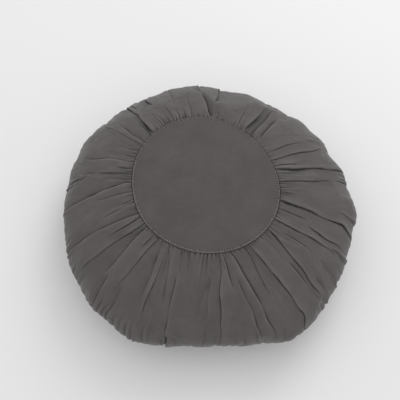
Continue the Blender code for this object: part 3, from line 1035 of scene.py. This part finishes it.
class Nodes:
    """Short-hand for adding and joining the nodes of one material."""

    def __init__(self, name):
        self.material = bpy.data.materials.new(name)
        self.material.use_nodes = True
        self.tree = self.material.node_tree
        self.shader = self.tree.nodes["Principled BSDF"]

    def feed(self, node, inputs):
        """Join sockets to a node's inputs, or set plain values on them."""
        for key, value in inputs.items():
            if isinstance(value, bpy.types.NodeSocket):
                self.tree.links.new(value, node.inputs[key])
            else:
                node.inputs[key].default_value = value

    def add(self, kind, inputs=None, **settings):
        node = self.tree.nodes.new("ShaderNode" + kind)
        for key, value in settings.items():
            setattr(node, key, value)
        self.feed(node, inputs or {})
        return node

    def math(self, operation, first, second):
        return self.add("Math", {0: first, 1: second}, operation=operation).outputs[0]

    def noise(self, where, scale, detail=2.0, roughness=0.5):
        inputs = {"Vector": where, "Scale": scale, "Detail": detail, "Roughness": roughness}
        return self.add("TexNoise", inputs).outputs["Fac"]

    def threads(self, where, scale, direction, distortion=0.0):
        inputs = {"Vector": where, "Scale": scale, "Distortion": distortion}
        return self.add("TexWave", inputs, bands_direction=direction).outputs["Fac"]

    def bump(self, height, strength, distance, normal=None):
        inputs = {"Height": height, "Strength": strength, "Distance": distance}
        if normal is not None:
            inputs["Normal"] = normal
        return self.add("Bump", inputs).outputs[0]

    def stretched(self, where, x, y, z=1.0):
        return self.add("Mapping", {"Vector": where, "Scale": (x, y, z)}).outputs[0]

    def span(self, value, low, high, to_low, to_high):
        inputs = {"Value": value, "From Min": low, "From Max": high}
        inputs.update({"To Min": to_low, "To Max": to_high})
        return self.add("MapRange", inputs).outputs[0]

    def scaled(self, vector, size):
        return self.add("VectorMath", {0: vector, "Scale": size}, operation="SCALE").outputs[0]


def cotton(name, tone, on_band):
    """Washed plain-weave cotton with painted shade and highlight from the relief. On the band it reads the UV
    map.
    """
    nodes = Nodes(name)
    body = nodes.add("TexCoord").outputs["Object"]
    if on_band:
        where = nodes.add("UVMap", uv_map="cloth_metres").outputs[0]
    else:
        where = nodes.add("Mapping", {"Vector": body, "Rotation": (0, 0, math.radians(8))}).outputs[0]
    wave_scale = 2 * math.pi / 20 / THREAD_PITCH
    warp = nodes.threads(where, wave_scale, "X")
    weft = nodes.threads(where, wave_scale, "Y")
    weave = nodes.math("MULTIPLY", warp, weft)
    slub_x = nodes.noise(nodes.stretched(where, 1.0, 0.05), 1700.0)
    slub_y = nodes.noise(nodes.stretched(where, 0.05, 1.0), 1700.0)
    slubs = nodes.math("ADD", slub_x, slub_y)
    dye = nodes.noise(body, 38.0, 2.0, 0.55)
    wash = nodes.noise(body, 260.0, 3.0, 0.6)
    shade = nodes.span(slubs, 0.6, 1.4, 0.94, 1.06)
    shade = nodes.math("MULTIPLY", shade, nodes.span(dye, 0.3, 0.7, 0.93, 1.07))
    shade = nodes.math("MULTIPLY", shade, nodes.span(wash, 0.3, 0.7, 0.96, 1.04))
    # The relief paints light into the colour: on the band, valleys darker as painted shade and ridges and
    # lips paler, part wear and part painted highlight; on the panels, the turned roll paler the same way
    height = nodes.add("Attribute", attribute_name="relief").outputs["Fac"]
    if on_band:
        painted_light_and_wear = nodes.span(height, -3.0, 1.6, 0.54, 1.31)
    else:
        painted_light_and_wear = nodes.span(height, 0.25, 1.0, 1.08, 1.80)
    shade = nodes.math("MULTIPLY", shade, painted_light_and_wear)
    creep = nodes.noise(nodes.stretched(where, 1.0, 0.45) if on_band else where, 300.0, 4.0, 0.6)
    bend = nodes.add("TexNoise", {"Vector": where, "Scale": 35.0, "Detail": 2.0}).outputs["Color"]
    bent = {0: nodes.stretched(where, 1.0, 0.6), 1: nodes.scaled(bend, 0.03)}
    bent = nodes.add("VectorMath", bent, operation="ADD").outputs[0]
    cells = nodes.add("TexVoronoi", {"Vector": bent, "Scale": 42.0}, feature="DISTANCE_TO_EDGE")
    crumple = nodes.bump(cells.outputs["Distance"], 1.0, 0.0013 if on_band else 0.0005)
    creased = nodes.bump(creep, 1.0, 0.00035, crumple)
    look = {
        "Base Color": nodes.scaled(tone, shade),
        "Roughness": nodes.span(wash, 0.3, 0.7, 0.84, 0.96),
        "Normal": nodes.bump(weave, 0.8, 0.00007, creased),
        "Specular IOR Level": 0.18,
        "Sheen Weight": 0.32,
        "Sheen Roughness": 0.4,
    }
    nodes.feed(nodes.shader, look)
    return nodes.material


band_cotton = cotton("gathered_cotton", (0.1000, 0.0905, 0.0900), True)
# Same cotton as the band, in a darker tone: a painted shade on the panels
panel_cotton = cotton("panel_cotton", (0.0895, 0.0808, 0.0799), False)
print("cotton materials", band_cotton.name, panel_cotton.name)

# %% [markdown]
# ## The thread
#
# The topstitching is spun cotton thread, paler than the cloth, so that the seam reads as a thin
# light line. Two plies twist round each other, which a slanting wave in bump suggests.

# %% Thread material
def thread_material():
    nodes = Nodes("topstitch_thread")
    body = nodes.add("TexCoord").outputs["Object"]
    ply = nodes.threads(body, 700.0, "DIAGONAL", 1.0)
    fuzz = nodes.noise(body, 2500.0)
    shade = nodes.span(fuzz, 0.3, 0.7, 0.85, 1.15)
    look = {
        "Base Color": nodes.scaled((0.200, 0.187, 0.184), shade),
        "Roughness": nodes.span(fuzz, 0.3, 0.7, 0.7, 0.85),
        "Normal": nodes.bump(ply, 0.6, 0.0001),
        "Sheen Weight": 0.2,
    }
    nodes.feed(nodes.shader, look)
    return nodes.material


thread = thread_material()

# %% [markdown]
# ## What each piece is
#
# Every piece takes its cotton or thread material and rides on the one rigid body. The plain solids
# that the cloth covers are hidden.

for piece, material in (
    (band, band_cotton),
    (front_cloth, panel_cotton),
    (back_cloth, panel_cotton),
    (front_thread, thread),
    (back_thread, thread),
):
    piece.data.materials.clear()
    piece.data.materials.append(material)
    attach(piece, "root")
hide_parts("gathered_band")
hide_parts("front_panel")
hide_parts("back_panel")

# %% [markdown]
# ## Floor and light
#
# A plain pale floor takes the place of the surroundings. One large soft light from the top right of
# the picture gives the folds their dark sides, and an even sky fills the rest.

# %% Floor and lights
FLOOR_SIZE = 8.0
bpy.ops.object.select_all(action="DESELECT")
bpy.ops.mesh.primitive_plane_add(size=FLOOR_SIZE, location=(0.0, 0.0, -0.0002))
floor = bpy.context.active_object
floor.name = "floor"
floor_nodes = Nodes("pale_floor")
floor_grain = floor_nodes.noise(floor_nodes.add("TexCoord").outputs["Object"], 40.0, 3.0)
floor_rough = floor_nodes.span(floor_grain, 0.3, 0.7, 0.66, 0.74)
floor_look = {"Roughness": floor_rough, "Base Color": (0.86, 0.855, 0.86, 1.0)}
floor_nodes.feed(floor_nodes.shader, floor_look)
floor.data.materials.append(floor_nodes.material)

world = bpy.context.scene.world or bpy.data.worlds.new("soft_sky")
bpy.context.scene.world = world
world.use_nodes = True
sky = world.node_tree.nodes["Background"]
sky.inputs["Color"].default_value = (1.0, 1.0, 1.0, 1.0)
sky.inputs["Strength"].default_value = 0.83


def softbox(name, place, size, power):
    """Square light that faces the cushion."""
    data = bpy.data.lights.new(name, "AREA")
    data.shape = "SQUARE"
    data.size = size
    data.energy = power
    light = bpy.data.objects.new(name, data)
    light.location = place
    towards_cushion = Vector((0.0, 0.0, 0.05)) - Vector(place)
    light.rotation_euler = towards_cushion.to_track_quat("-Z", "Y").to_euler()
    bpy.context.scene.collection.objects.link(light)


softbox("key_light", (0.85, 1.5, 1.5), 1.2, 12.0)
bpy.context.scene.view_settings.view_transform = "Standard"
bpy.context.scene.view_settings.look = "None"
